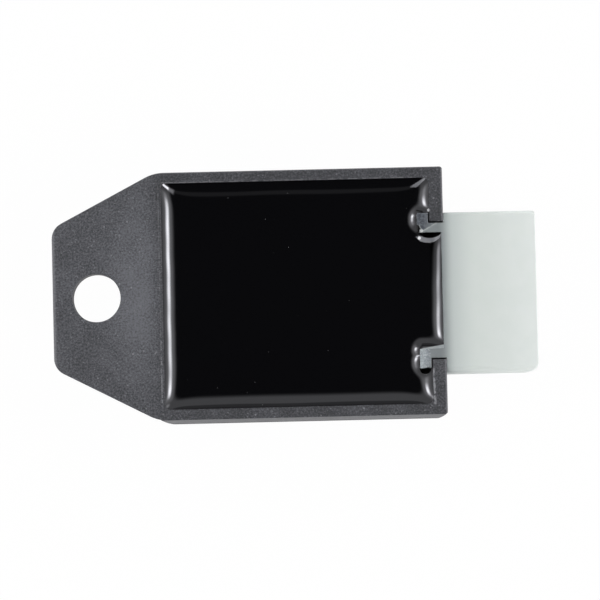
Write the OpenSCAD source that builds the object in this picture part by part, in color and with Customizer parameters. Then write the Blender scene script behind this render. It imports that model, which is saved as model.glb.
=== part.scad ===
// Voltage regulator rectifier of a small scooter: a finned die-cast case with a mounting lug, a circuit
// board on its floor under potting compound, and a plug socket with four blades in its end wall.
// The origin is on the mounting hole's axis, in the plane of the mounting face (the case's rim and lug).
// +X runs from the hole to the plug socket, and +Z points out of the mounting face. Sizes are millimetres.

/* [Mounting lug] */
// Diameter of the mounting hole
hole_d = 7.2; // [5:0.1:9]
// From the hole's centre to the end of the lug
lug_end = 6.5; // [5.5:0.1:9]
// Width across the end of the lug
lug_end_w = 21; // [16:0.5:30]
// Thickness of the lug
lug_t = 4; // [2.5:0.1:6]
// Radius of the two corners at the lug's end
lug_corner_r = 2.6; // [0.5:0.1:4]
// From the hole's centre to the shoulder where the lug reaches the full width
shoulder_x = 8.9; // [7:0.1:12]
// Radius of the shoulder
shoulder_r = 6; // [2:0.5:8]

/* [Case] */
// From the hole's centre to the near edge of the recess
recess_x = 9.9; // [9:0.1:14]
// Length of the recess
recess_l = 40; // [39.5:0.1:60]
// Width of the recess
recess_w = 33.8; // [32:0.1:45]
// Radius of the recess's upright corners
recess_corner_r = 0.8; // [0.3:0.1:1.5]
// Width of the rim along the two long sides
rim_w = 1.6; // [1.2:0.1:3]
// Thickness of the end wall that holds the plug socket
end_wall = 2.1; // [1.5:0.1:3.5]
// Thickness of the wall under the lug
lug_wall = 2.0; // [1.2:0.1:3]
// Radius of the case's corners at the rim, on the socket end
rim_corner_r = 0.4; // [0.3:0.1:1.5]
// Radius of the case's upright corners under the lug
lug_side_r = 3; // [2.5:0.1:4]
// Radius of the case's upright corners on the socket end
socket_side_r = 0.9; // [0.5:0.1:2.5]
// How far each long side flares out between the lug and the floor
side_flare = 0.5; // [0:0.05:0.8]
// Thickness of the floor between the recess and the fins
floor_t = 3.5; // [2.5:0.1:6]

/* [Cooling fins] */
// Number of fins
fin_count = 8; // [5:1:10]
// Height of the fins
fin_h = 4.5; // [3:0.1:10]
// Thickness of a fin at its root
fin_root_t = 2.2; // [1.6:0.1:2.8]
// Thickness of a fin at its tip
fin_tip_t = 1.5; // [0.8:0.1:1.6]

/* [Plug socket] */
// Width of the neck that sits in the end wall's slot
neck_w = 20.2; // [19.5:0.1:24]
// Thickness of the neck's side walls
neck_wall = 1.4; // [1:0.1:2]
// How far the socket's outer body stands out past the neck on each side
shell_step = 1.5; // [0.8:0.1:2]
// How much further the body stands out on its keyed side
key_step = 0.75; // [0:0.05:1.5]
// How far the hooks behind the end wall stand out past the neck
hook_reach = 1.5; // [0.8:0.1:2.5]
// Thickness of the hooks
hook_t = 1.7; // [1:0.1:2.5]
// Length of the socket's outer body past the end wall
shell_l = 13.7; // [12:0.1:20]
// Thickness of the socket's walls
shell_wall = 1.5; // [1:0.1:2]
// Thickness of the socket's floor, which the blades pass through
socket_floor_t = 2; // [1.2:0.1:3]
// How far the socket's floor reaches into the end wall's slot
floor_inset = 0.35; // [0.1:0.05:0.9]
// Height of the socket's opening
socket_h = 12.6; // [11.5:0.1:16]
// Radius of the socket body's long edges on its plain side
shell_edge_r = 0.45; // [0.3:0.05:1.4]
// Radius of the socket body's long edges on its keyed side
key_edge_r = 1.1; // [0.3:0.1:1.4]
// Radius of the mouth's corners on the plain side
mouth_corner_r = 0.45; // [0.3:0.05:1.4]
// Radius of the mouth's corners on the keyed side
key_corner_r = 1.2; // [0.3:0.1:1.4]
// Radius of the opening's inner edges
socket_corner_r = 0.6; // [0.2:0.1:1]
// How far the socket's upper face lies below the mounting face
shell_drop = 0.15; // [0.05:0.05:0.6]
// Clearance between the neck and the slot's edges
slot_clearance = 0.2; // [0.05:0.05:0.4]
// Clearance between the hooks and the end wall
hook_clearance = 0.15; // [0.05:0.05:0.4]
// Width of the latch catch under the socket
catch_w = 6; // [4:0.5:10]
// Length of the latch catch
catch_l = 3; // [2:0.1:5]
// Height of the latch catch
catch_h = 1.4; // [0.8:0.1:2]
// From the socket's mouth to the latch catch
catch_setback = 3.5; // [2:0.1:5]
// Width of the polarising rib inside the socket
rib_w = 1.2; // [0.8:0.1:2]
// Height of the polarising rib
rib_h = 0.9; // [0.5:0.1:1.5]

/* [Blade terminals] */
// Width of a blade
blade_w = 6.3; // [4.8:0.1:6.3]
// Thickness of a blade, and of its tail
blade_t = 0.8; // [0.5:0.1:1]
// Length of a blade past the socket's floor
blade_l = 8.6; // [6:0.1:10]
// Length of the taper at a blade's tip
blade_tip = 1.2; // [0.6:0.1:2]
// Diameter of the detent hole in a blade
detent_d = 1.6; // [1:0.1:2.2]
// From a blade's tip to its detent hole
detent_setback = 3.6; // [3:0.1:5]
// Distance between blades side by side
blade_pitch = 9.2; // [8:0.1:10]
// Distance between the two rows of blades
row_pitch = 6; // [5:0.1:7]
// Height of the lower row above the case's floor
row_floor_gap = 1.5; // [1:0.1:3]
// Width of a tail
tail_w = 2.4; // [1.5:0.1:3]
// Radius of a tail's bend, at its middle
tail_bend_r = 1; // [0.7:0.1:1.5]
// From the socket's floor to the upper row's tails in the board
upper_tail_x = 3.9; // [3:0.1:5]
// From the socket's floor to the lower row's tails in the board
lower_tail_x = 6.3; // [6:0.1:8]
// Clearance round a blade in the socket's floor
blade_clearance = 0.05; // [0.02:0.01:0.1]

/* [Potting compound] */
// Depth of the compound's level surface below the mounting face
level_drop = 1.3; // [0.8:0.05:1.6]
// How far below the mounting face the compound wets the walls
wetting_drop = 0.25; // [0.05:0.05:0.4]
// Radius of the collar that the compound forms round each hook, at its top
collar_r = 1.6; // [1.2:0.1:2.2]

/* [Circuit board] */
// Thickness of the board
board_t = 1.6; // [0.8:0.1:2]
// Gap between the board and the recess's walls
board_gap = 1.2; // [0.6:0.1:2]
// Gap between the board and the neck and hooks
board_neck_gap = 0.7; // [0.4:0.1:1.5]
// Gap between the board's tongue and the socket's floor
tongue_gap = 1.2; // [1:0.1:2.5]
// From the thyristors to the board's near edge
board_setback = 1.2; // [0.6:0.1:2]
// How far leads stand out past the board's far face
lead_stub = 0.8; // [0.4:0.1:1]
// Clearance round a lead in the board
lead_clearance = 0.05; // [0.02:0.01:0.1]

/* [Thyristors] */
// Width of a thyristor
thyristor_w = 10; // [9:0.1:10.6]
// Length of a thyristor's moulded body
thyristor_l = 9; // [8:0.1:9.4]
// Thickness of a thyristor's moulded body
thyristor_t = 4.5; // [4:0.1:4.8]
// Length of the metal tab past the body
tab_l = 6.5; // [6.3:0.1:7]
// Thickness of the tab
tab_t = 1.3; // [0.8:0.1:1.5]
// From the end of the tab to its screw hole
tab_hole_x = 2.9; // [2.6:0.1:3.2]
// From the recess's edge to the end of the tab
tab_setback = 1.3; // [1.2:0.1:2]
// Height of a thyristor's leads above the tab's underside
thyristor_lead_z = 2.4; // [2.2:0.1:2.8]
// Width of a thyristor's lead
thyristor_lead_w = 0.8; // [0.6:0.1:1]
// Thickness of a thyristor's lead
thyristor_lead_t = 0.5; // [0.3:0.05:0.6]
// Distance between a thyristor's leads
thyristor_lead_pitch = 2.54; // [2.2:0.02:2.8]
// Straight length of the leads before their bend
thyristor_lead_l = 3; // [2:0.1:4]
// Radius of the leads' bend, at its middle
thyristor_bend_r = 0.8; // [0.5:0.05:1]
// Gap between the leads' bend and the board
board_lift = 0.2; // [0.1:0.05:1]
// Thickness of the insulating pad under a thyristor
pad_t = 0.25; // [0.15:0.05:0.5]
// How far the pad reaches past the thyristor
pad_margin = 1; // [0.5:0.1:1.2]

/* [Thyristor screws] */
// Diameter of the screw
screw_d = 3; // [2.5:0.1:3.2]
// Diameter of the screw's head
screw_head_d = 5.6; // [4.5:0.1:6]
// Height of the screw's head
screw_head_h = 2.2; // [1.6:0.1:2.6]
// Width of the slot in the screw's head
screw_slot_w = 0.8; // [0.6:0.1:1]
// Depth of the slot in the screw's head
screw_slot_depth = 1; // [0.6:0.1:1.2]
// Metal left under the tip of the screw
screw_skin = 0.6; // [0.4:0.1:1.5]
// Wall of the insulating bush round the screw
bush_wall = 0.4; // [0.3:0.05:0.6]
// Diameter of the bush's flange
bush_flange_d = 6.2; // [5.6:0.1:6.4]
// Thickness of the bush's flange
bush_flange_t = 0.8; // [0.5:0.1:1.2]
// Clearance of the screw, the bush and the tab to one another
screw_clearance = 0.05; // [0.02:0.01:0.1]

/* [Board parts] */
// Diameter of a diode's body
diode_d = 2.7; // [2:0.1:3]
// Length of a diode's body
diode_l = 5.2; // [4:0.1:6]
// Diameter of a diode's leads
diode_lead_d = 0.8; // [0.5:0.05:0.9]
// Diameter of a resistor's body
resistor_d = 2.4; // [1.8:0.1:2.8]
// Length of a resistor's body
resistor_l = 6.3; // [3.5:0.1:6.5]
// Diameter of a resistor's leads
resistor_lead_d = 0.6; // [0.4:0.05:0.7]
// Distance between the two leads of a diode or resistor
lead_span = 8.6; // [8.4:0.1:9]
// Radius of the leads' bends, at their middle
lead_bend_r = 0.8; // [0.6:0.05:1]
// Gap between the board and a part that lies on it
part_lift = 0.2; // [0.1:0.05:0.4]
// From the board's side edge to the nearest lead
lead_edge = 1.1; // [0.8:0.1:1.5]
// Diameter of the capacitor's can
capacitor_d = 4; // [3:0.1:4.5]
// Length of the capacitor's can
capacitor_l = 7; // [5:0.1:7]
// Diameter of the capacitor's leads
capacitor_lead_d = 0.45; // [0.4:0.05:0.6]
// Distance between the capacitor's leads
capacitor_lead_pitch = 1.5; // [1.2:0.1:2]

/* [Hidden] */

// Fineness of round shapes
$fa = 4;
$fs = 0.15;

// How far cutting shapes run past the faces that they open, and joined shapes into one another
over = 1;

// Case
body_w = recess_w + 2 * rim_w;
recess_end = recess_x + recess_l;
body_end = recess_end + end_wall;
body_x = recess_x - lug_wall;
foot_w = body_w + 2 * side_flare;

// Plug socket, whose lower row of blades sets the depth of the case's floor
shell_h = socket_h + 2 * shell_wall;
shell_top = -shell_drop;
shell_bottom = shell_top - shell_h;
shell_end = body_end + shell_l;
shell_w = neck_w + 2 * shell_step;
socket_w = shell_w - 2 * shell_wall;
socket_x = body_end + socket_floor_t;
socket_z = shell_top - shell_h / 2;
bay_w = neck_w - 2 * neck_wall;
bay_end = body_end - floor_inset;
hook_end = recess_end - hook_clearance;
hook_x = hook_end - hook_t;
hook_w = neck_w + 2 * hook_reach;
upper_row_z = socket_z + row_pitch / 2;
lower_row_z = socket_z - row_pitch / 2;

// Heights in the case
floor_z = lower_row_z - row_floor_gap;
underside_z = floor_z - floor_t;
fin_tip_z = underside_z - fin_h;
level_z = -level_drop;
wetting_z = -wetting_drop;
cove_r = level_drop - wetting_drop;

// Thyristors and board
tab_z = floor_z + pad_t;
tab_x = recess_x + tab_setback;
thyristor_x = tab_x + tab_l;
thyristor_end = thyristor_x + thyristor_l;
thyristor_y = recess_w / 4;
thyristor_lead_x = thyristor_end + thyristor_lead_l + thyristor_bend_r;
lead_z = tab_z + thyristor_lead_z;
board_z = lead_z + thyristor_bend_r + board_lift;
board_top = board_z + board_t;
board_x = thyristor_end + board_setback;
board_w = recess_w - 2 * board_gap;
board_shoulder_x = hook_x - board_neck_gap;
tongue_w = bay_w - 2 * board_neck_gap;
tongue_end = bay_end - tongue_gap;
upper_tail = bay_end - upper_tail_x;
lower_tail = bay_end - lower_tail_x;

// Places of the parts on the board: two side rows stand in columns between the thyristors' leads and the
// tails, and a middle row stands halfway between those columns, so that no leads meet
part_columns = 3;
column_pitch = (lower_tail - thyristor_lead_x) / (part_columns + 1);
side_row_y = board_w / 2 - lead_edge - lead_span / 2;
screw_tip_z = underside_z + screw_skin;
bush_d = screw_d + 2 * (screw_clearance + bush_wall);

function column_x(i) = thyristor_lead_x + i * column_pitch;

// Halfway between a column and the one before it
function middle_x(i) = (column_x(i - 1) + column_x(i)) / 2;

// Geometry helpers
function unit(v) = v / norm(v);

// The tangent point on the way from a corner towards a neighbour, for a corner of that radius
function tangent_point(corner, towards, other, r) =
    let (a = unit(towards - corner), b = unit(other - corner), half = acos(a * b) / 2)
    corner + a * r / tan(half);

// The centre of the arc that rounds a corner between its two neighbours
function arc_centre(before, corner, after, r) =
    let (a = unit(before - corner), b = unit(after - corner), half = acos(a * b) / 2)
    corner + unit(a + b) * r / sin(half);

// A convex polygon whose corners are rounded with true arcs
module rounded_polygon(points, radii) {
    n = len(points);
    before = [for (i = [0 : n - 1]) points[(i + n - 1) % n]];
    after = [for (i = [0 : n - 1]) points[(i + 1) % n]];
    polygon([
        for (i = [0 : n - 1])
            each [
                tangent_point(points[i], before[i], after[i], radii[i]),
                tangent_point(points[i], after[i], before[i], radii[i])
            ]
    ]);
    for (i = [0 : n - 1])
        translate(arc_centre(before[i], points[i], after[i], radii[i])) circle(radii[i]);
}

// A rectangle between two corners, rounded with one radius
module rounded_rectangle(low, high, r) {
    rounded_polygon(
        [low, [high.x, low.y], high, [low.x, high.y]],
        [r, r, r, r]
    );
}

// Extrusions of a flat shape along each axis: the shape's own axes become Y-Z, X-Z and X-Y
module along_x(from, to) {
    translate([from, 0, 0]) rotate([90, 0, 90]) linear_extrude(to - from) children();
}

module along_y(from, to) {
    translate([0, to, 0]) rotate([90, 0, 0]) linear_extrude(to - from) children();
}

module along_z(from, to) {
    translate([0, 0, from]) linear_extrude(to - from) children();
}

// A box given by its two ends on each axis
module block(x, y, z) {
    translate([x[0], y[0], z[0]]) cube([x[1] - x[0], y[1] - y[0], z[1] - z[0]]);
}

// The shape and its mirror image across the case's length
module both_sides() {
    children();
    mirror([0, 1, 0]) children();
}

// Heat sink case
module plate_outline() {
    end_y = lug_end_w / 2;
    side_y = body_w / 2;
    rounded_polygon(
        [
            [-lug_end, -end_y], [shoulder_x, -side_y], [body_end, -side_y],
            [body_end, side_y], [shoulder_x, side_y], [-lug_end, end_y]
        ],
        [lug_corner_r, shoulder_r, rim_corner_r, rim_corner_r, shoulder_r, lug_corner_r]
    );
}

module fin(y) {
    polygon([
        [y - fin_root_t / 2, underside_z + over], [y - fin_root_t / 2, underside_z],
        [y - fin_tip_t / 2, fin_tip_z], [y + fin_tip_t / 2, fin_tip_z],
        [y + fin_root_t / 2, underside_z], [y + fin_root_t / 2, underside_z + over]
    ]);
}

module body_section() {
    polygon([
        [-body_w / 2, -lug_t], [-foot_w / 2, underside_z],
        [foot_w / 2, underside_z], [body_w / 2, -lug_t]
    ]);
    reach = (foot_w - fin_root_t) / 2;
    for (i = [0 : fin_count - 1])
        fin(-reach + i * 2 * reach / (fin_count - 1));
}

module body_outline() {
    side_y = foot_w / 2;
    rounded_polygon(
        [[body_x, -side_y], [body_end, -side_y], [body_end, side_y], [body_x, side_y]],
        [lug_side_r, socket_side_r, socket_side_r, lug_side_r]
    );
}

module recess_outline() {
    rounded_rectangle([recess_x, -recess_w / 2], [recess_end, recess_w / 2], recess_corner_r);
}

module heat_sink_case() {
    slot_w = neck_w + 2 * slot_clearance;
    color("#4a4b4f") difference() {
        union() {
            along_z(-lug_t, 0) plate_outline();
            intersection() {
                along_x(body_x, body_end) body_section();
                along_z(fin_tip_z - over, over) body_outline();
            }
        }
        along_z(floor_z, over) recess_outline();
        block([recess_end - over, body_end + over], [-slot_w / 2, slot_w / 2], [floor_z, over]);
        translate([0, 0, -lug_t - over]) cylinder(d = hole_d, h = lug_t + 2 * over);
        both_sides()
            translate([tab_x + tab_hole_x, thyristor_y, screw_tip_z])
                cylinder(d = screw_d + 2 * screw_clearance, h = floor_z - screw_tip_z + over);
    }
}

// Plug socket. Its roots are the neck's side walls and the hooks at their inner ends.
module connector_roots(top) {
    both_sides() {
        block([hook_x, body_end], [bay_w / 2, neck_w / 2], [floor_z, top]);
        block([hook_x, hook_end], [bay_w / 2, hook_w / 2], [floor_z, top]);
    }
}

// The socket's outer body, whose keyed side (-Y) is fuller and rounder, so that the plug goes in one way
module shell_body() {
    side_y = shell_w / 2;
    key_y = -side_y - key_step;
    root_x = body_end - 2 * max(mouth_corner_r, key_corner_r);
    intersection() {
        along_x(body_end, shell_end)
            rounded_polygon(
                [[key_y, shell_bottom], [side_y, shell_bottom], [side_y, shell_top], [key_y, shell_top]],
                [key_edge_r, shell_edge_r, shell_edge_r, key_edge_r]
            );
        along_z(shell_bottom - over, shell_top + over)
            rounded_polygon(
                [[root_x, key_y], [shell_end, key_y], [shell_end, side_y], [root_x, side_y]],
                [key_corner_r, key_corner_r, mouth_corner_r, mouth_corner_r]
            );
    }
}

module latch_catch() {
    front = shell_end - catch_setback;
    along_y(-catch_w / 2, catch_w / 2) polygon([
        [front, shell_bottom + shell_wall / 2], [front, shell_bottom],
        [front - catch_l, shell_bottom - catch_h], [front - catch_l, shell_bottom + shell_wall / 2]
    ]);
}

module blade_slots() {
    w = blade_w + 2 * blade_clearance;
    t = blade_t + 2 * blade_clearance;
    for (y = [-blade_pitch / 2, blade_pitch / 2], z = [lower_row_z, upper_row_z])
        block([body_end - over, socket_x + over], [y - w / 2, y + w / 2], [z - t / 2, z + t / 2]);
}

module connector_shell() {
    socket_low = socket_z - socket_h / 2;
    socket_high = socket_z + socket_h / 2;
    color("#d8dedb") union() {
        difference() {
            union() {
                shell_body();
                connector_roots(shell_top);
                block([bay_end, socket_x], [-neck_w / 2, neck_w / 2], [floor_z, shell_top]);
                latch_catch();
            }
            along_x(socket_x, shell_end + over)
                rounded_rectangle(
                    [-socket_w / 2, socket_low], [socket_w / 2, socket_high], socket_corner_r
                );
            blade_slots();
        }
        block(
            [socket_x - socket_floor_t / 2, shell_end - catch_setback],
            [-rib_w / 2, rib_w / 2],
            [socket_high - rib_h, socket_high + shell_wall / 2]
        );
    }
}

// A strip that runs towards -X from a start, turns upwards or downwards through a bend, and ends at a height
module bent_strip(start, end_x, end_z, w, t, bend_r) {
    up = sign(end_z - start.z);
    turn = [end_x + bend_r, start.y, start.z + up * bend_r];
    translate(turn) mirror([0, 0, up > 0 ? 0 : 1]) {
        translate([0, -w / 2, -bend_r - t / 2]) cube([start.x - turn.x, w, t]);
        rotate([90, 0, 0]) rotate_extrude(angle = 90, start = 180)
            translate([bend_r - t / 2, -w / 2]) square([t, w]);
        translate([-bend_r - t / 2, -w / 2, 0]) cube([t, w, abs(end_z - turn.z)]);
    }
}

// The tail of a blade, from inside the socket's floor to its place in the board
module terminal_tail(side, upper) {
    start = [body_end + over, side * blade_pitch / 2, upper ? upper_row_z : lower_row_z];
    bent_strip(
        start, upper ? upper_tail : lower_tail,
        upper ? board_z - lead_stub : board_top + lead_stub,
        tail_w, blade_t, tail_bend_r
    );
}

module blade_outline() {
    tip = socket_x + blade_l;
    difference() {
        polygon([
            [body_end, -blade_w / 2], [tip - blade_tip, -blade_w / 2], [tip, -blade_w / 2 + blade_tip],
            [tip, blade_w / 2 - blade_tip], [tip - blade_tip, blade_w / 2], [body_end, blade_w / 2]
        ]);
        translate([tip - detent_setback, 0]) circle(d = detent_d);
    }
}

module terminal(side, upper) {
    z = upper ? upper_row_z : lower_row_z;
    color("#c9c4b4") union() {
        translate([0, side * blade_pitch / 2, 0])
            along_z(z - blade_t / 2, z + blade_t / 2) blade_outline();
        terminal_tail(side, upper);
    }
}

// Thyristors, each clamped to the floor by a screw through an insulating bush, on an insulating pad
module thyristor_leads(side) {
    for (i = [-1 : 1])
        mirror([1, 0, 0])
            bent_strip(
                [-thyristor_end + over, side * thyristor_y + i * thyristor_lead_pitch, lead_z],
                -thyristor_lead_x, board_top + lead_stub,
                thyristor_lead_w, thyristor_lead_t, thyristor_bend_r
            );
}

module thyristor_blank(side) {
    y = side * thyristor_y;
    block(
        [tab_x, thyristor_x + over], [y - thyristor_w / 2, y + thyristor_w / 2],
        [tab_z, tab_z + tab_t]
    );
    block(
        [thyristor_x, thyristor_end], [y - thyristor_w / 2, y + thyristor_w / 2],
        [tab_z, tab_z + thyristor_t]
    );
    thyristor_leads(side);
}

module at_tab_hole(side, z) {
    translate([tab_x + tab_hole_x, side * thyristor_y, z]) children();
}

module thyristor(side) {
    color("#2b2b2d") difference() {
        thyristor_blank(side);
        at_tab_hole(side, tab_z - over)
            cylinder(d = bush_d + 2 * screw_clearance, h = tab_t + 2 * over);
    }
}

module pad_blank(side) {
    y = side * thyristor_y;
    half_w = thyristor_w / 2 + pad_margin;
    block(
        [tab_x - pad_margin, thyristor_end + pad_margin], [y - half_w, y + half_w],
        [floor_z, tab_z]
    );
}

module insulating_pad(side) {
    color("#9a9ea0") difference() {
        pad_blank(side);
        at_tab_hole(side, floor_z - over)
            cylinder(d = screw_d + 2 * screw_clearance, h = pad_t + 2 * over);
    }
}

module bush_blank(side) {
    at_tab_hole(side, tab_z) cylinder(d = bush_d, h = tab_t);
    at_tab_hole(side, tab_z + tab_t) cylinder(d = bush_flange_d, h = bush_flange_t);
}

module screw_bush(side) {
    color("#e6e2d6") difference() {
        bush_blank(side);
        at_tab_hole(side, tab_z - over)
            cylinder(d = screw_d + 2 * screw_clearance, h = tab_t + bush_flange_t + 2 * over);
    }
}

module screw_head(side) {
    seat = tab_z + tab_t + bush_flange_t;
    difference() {
        at_tab_hole(side, seat) cylinder(d = screw_head_d, h = screw_head_h);
        at_tab_hole(side, seat + screw_head_h - screw_slot_depth)
            translate([-screw_head_d, -screw_slot_w / 2, 0])
                cube([2 * screw_head_d, screw_slot_w, screw_slot_depth + over]);
    }
}

module thyristor_screw(side) {
    seat = tab_z + tab_t + bush_flange_t;
    into_head = (screw_head_h - screw_slot_depth) / 2;
    color("#b9bcc0") union() {
        screw_head(side);
        at_tab_hole(side, screw_tip_z) cylinder(d = screw_d, h = seat + into_head - screw_tip_z);
    }
}

// A round lead that leaves a body along Y, bends down and passes through the board
module round_lead(x, body_y, lead_y, z, d) {
    out = sign(lead_y - body_y);
    turn = [x, lead_y - out * lead_bend_r, z - lead_bend_r];
    translate(turn) mirror([0, out > 0 ? 0 : 1, 0]) {
        translate([0, 0, lead_bend_r]) rotate([90, 0, 0])
            cylinder(d = d, h = abs(turn.y - body_y) + over);
        rotate([90, 0, 90]) rotate_extrude(angle = 90)
            translate([lead_bend_r, 0]) circle(d = d);
        translate([0, lead_bend_r, 0]) rotate([180, 0, 0])
            cylinder(d = d, h = turn.z - board_z + lead_stub);
    }
}

function axial_z(d) = board_top + part_lift + d / 2;

module axial_leads(place, d, l, lead_d) {
    for (out = [-1, 1])
        round_lead(
            place.x, place.y + out * l / 2, place.y + out * lead_span / 2,
            axial_z(d), lead_d
        );
}

module axial_part(place, d, l, lead_d) {
    translate([place.x, place.y + l / 2, axial_z(d)]) rotate([90, 0, 0]) cylinder(d = d, h = l);
    axial_leads(place, d, l, lead_d);
}

module diode(place) {
    color("#26282c") axial_part(place, diode_d, diode_l, diode_lead_d);
}

module resistor(place) {
    color("#cdb88f") axial_part(place, resistor_d, resistor_l, resistor_lead_d);
}

// The capacitor lies along Y with both leads at its -Y end
function capacitor_lead_y(place) = place.y - capacitor_l / 2 - lead_bend_r - part_lift;

module capacitor_leads(place) {
    for (i = [-1, 1])
        round_lead(
            place.x + i * capacitor_lead_pitch / 2, place.y - capacitor_l / 2,
            capacitor_lead_y(place), axial_z(capacitor_d), capacitor_lead_d
        );
}

module capacitor(place) {
    color("#2f3e63") union() {
        translate([place.x, place.y + capacitor_l / 2, axial_z(capacitor_d)])
            rotate([90, 0, 0]) cylinder(d = capacitor_d, h = capacitor_l);
        capacitor_leads(place);
    }
}

battery_zener_place = [column_x(1), side_row_y];
lighting_zener_place = [column_x(1), -side_row_y];
charging_diode_place = [column_x(2), side_row_y];
lighting_diode_place = [column_x(2), -side_row_y];
battery_sense_place = [middle_x(2), 0];
lighting_sense_place = [middle_x(3), 0];
charging_resistor_place = [column_x(3), side_row_y];
lighting_resistor_place = [column_x(3), -side_row_y];
capacitor_place = [middle_x(1), 0];
diode_places = [battery_zener_place, lighting_zener_place, charging_diode_place, lighting_diode_place];
resistor_places =
    [battery_sense_place, lighting_sense_place, charging_resistor_place, lighting_resistor_place];

// Circuit board
module board_blank() {
    block([board_x, board_shoulder_x], [-board_w / 2, board_w / 2], [board_z, board_top]);
    block([board_shoulder_x - over, tongue_end], [-tongue_w / 2, tongue_w / 2], [board_z, board_top]);
}

module lead_hole(x, y, d) {
    translate([x, y, board_z - over])
        cylinder(d = d + 2 * lead_clearance, h = board_t + 2 * over);
}

module strip_hole(x, y, w, t) {
    half_w = w / 2 + lead_clearance;
    half_t = t / 2 + lead_clearance;
    block([x - half_t, x + half_t], [y - half_w, y + half_w], [board_z - over, board_top + over]);
}

module circuit_board() {
    color("#3c6b48") difference() {
        board_blank();
        for (out = [-1, 1]) {
            for (p = diode_places) lead_hole(p.x, p.y + out * lead_span / 2, diode_lead_d);
            for (p = resistor_places) lead_hole(p.x, p.y + out * lead_span / 2, resistor_lead_d);
            lead_hole(
                capacitor_place.x + out * capacitor_lead_pitch / 2,
                capacitor_lead_y(capacitor_place), capacitor_lead_d
            );
            strip_hole(upper_tail, out * blade_pitch / 2, tail_w, blade_t);
            strip_hole(lower_tail, out * blade_pitch / 2, tail_w, blade_t);
            for (i = [-1 : 1])
                strip_hole(
                    thyristor_lead_x, out * thyristor_y + i * thyristor_lead_pitch,
                    thyristor_lead_w, thyristor_lead_t
                );
        }
    }
}

// Potting compound: it fills the recess and the bay between the neck's walls, up the walls in a cove
module pan_section(from, to) {
    translate([from, level_z + cove_r]) square([to - from, over - level_z]);
    translate([from + cove_r, level_z]) square([to - from - 2 * cove_r, over - level_z]);
    for (a = [from + cove_r, to - cove_r])
        translate([a, level_z + cove_r]) circle(cove_r);
}

module pan(x, w) {
    intersection() {
        along_y(-w / 2 - over, w / 2 + over) pan_section(x[0], x[1]);
        along_x(x[0] - over, x[1] + over) pan_section(-w / 2, w / 2);
    }
}

module potting_blank() {
    along_z(floor_z, wetting_z) recess_outline();
    block([recess_end - over, bay_end], [-bay_w / 2, bay_w / 2], [floor_z, wetting_z]);
}

module hook_collars() {
    both_sides()
        translate([(hook_x + hook_end) / 2, (bay_w + hook_w) / 4, level_z])
            rotate_extrude() difference() {
                translate([0, -over]) square([collar_r + cove_r, over + cove_r]);
                translate([collar_r + cove_r, cove_r]) circle(cove_r);
            }
}

module embedded_parts() {
    connector_roots(over);
    board_blank();
    for (side = [-1, 1]) {
        for (upper = [false, true]) terminal_tail(side, upper);
        thyristor_blank(side);
        pad_blank(side);
        bush_blank(side);
        screw_head(side);
    }
    for (p = diode_places) diode(p);
    for (p = resistor_places) resistor(p);
    capacitor(capacitor_place);
}

module potting_compound() {
    color("#0c0c0e") difference() {
        union() {
            difference() {
                potting_blank();
                pan([recess_x, recess_end], recess_w);
                pan([recess_end - recess_l / 2, bay_end], bay_w);
            }
            intersection() {
                potting_blank();
                hook_collars();
            }
        }
        embedded_parts();
    }
}

heat_sink_case();
potting_compound();
connector_shell();
terminal(1, true);  // battery_terminal
terminal(-1, true);  // lighting_terminal
terminal(1, false);  // stator_terminal
terminal(-1, false);  // ground_terminal
circuit_board();
thyristor(1);  // charging_thyristor
thyristor(-1);  // lighting_thyristor
insulating_pad(1);  // charging_insulating_pad
insulating_pad(-1);  // lighting_insulating_pad
screw_bush(1);  // charging_screw_bush
screw_bush(-1);  // lighting_screw_bush
thyristor_screw(1);  // charging_thyristor_screw
thyristor_screw(-1);  // lighting_thyristor_screw
diode(battery_zener_place);  // battery_zener_diode
diode(lighting_zener_place);  // lighting_zener_diode
diode(charging_diode_place);  // charging_gate_diode
diode(lighting_diode_place);  // lighting_gate_diode
resistor(battery_sense_place);  // battery_sense_resistor
resistor(lighting_sense_place);  // lighting_sense_resistor
resistor(charging_resistor_place);  // charging_gate_resistor
resistor(lighting_resistor_place);  // lighting_gate_resistor
capacitor(capacitor_place);  // smoothing_capacitor
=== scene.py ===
# %% [markdown]
# A potted voltage regulator, dressed for its portrait.
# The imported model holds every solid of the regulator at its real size: the die-cast case, the black resin
# that fills it, the plug socket, the blades and the circuit under the resin. This lesson gives them their
# looks. Nothing here moves or resizes a solid: a piece is either painted, or replaced by a finer mesh that
# keeps its form.

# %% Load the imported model
import math

import bmesh
import bpy
from mathutils import Matrix, Vector


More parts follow.
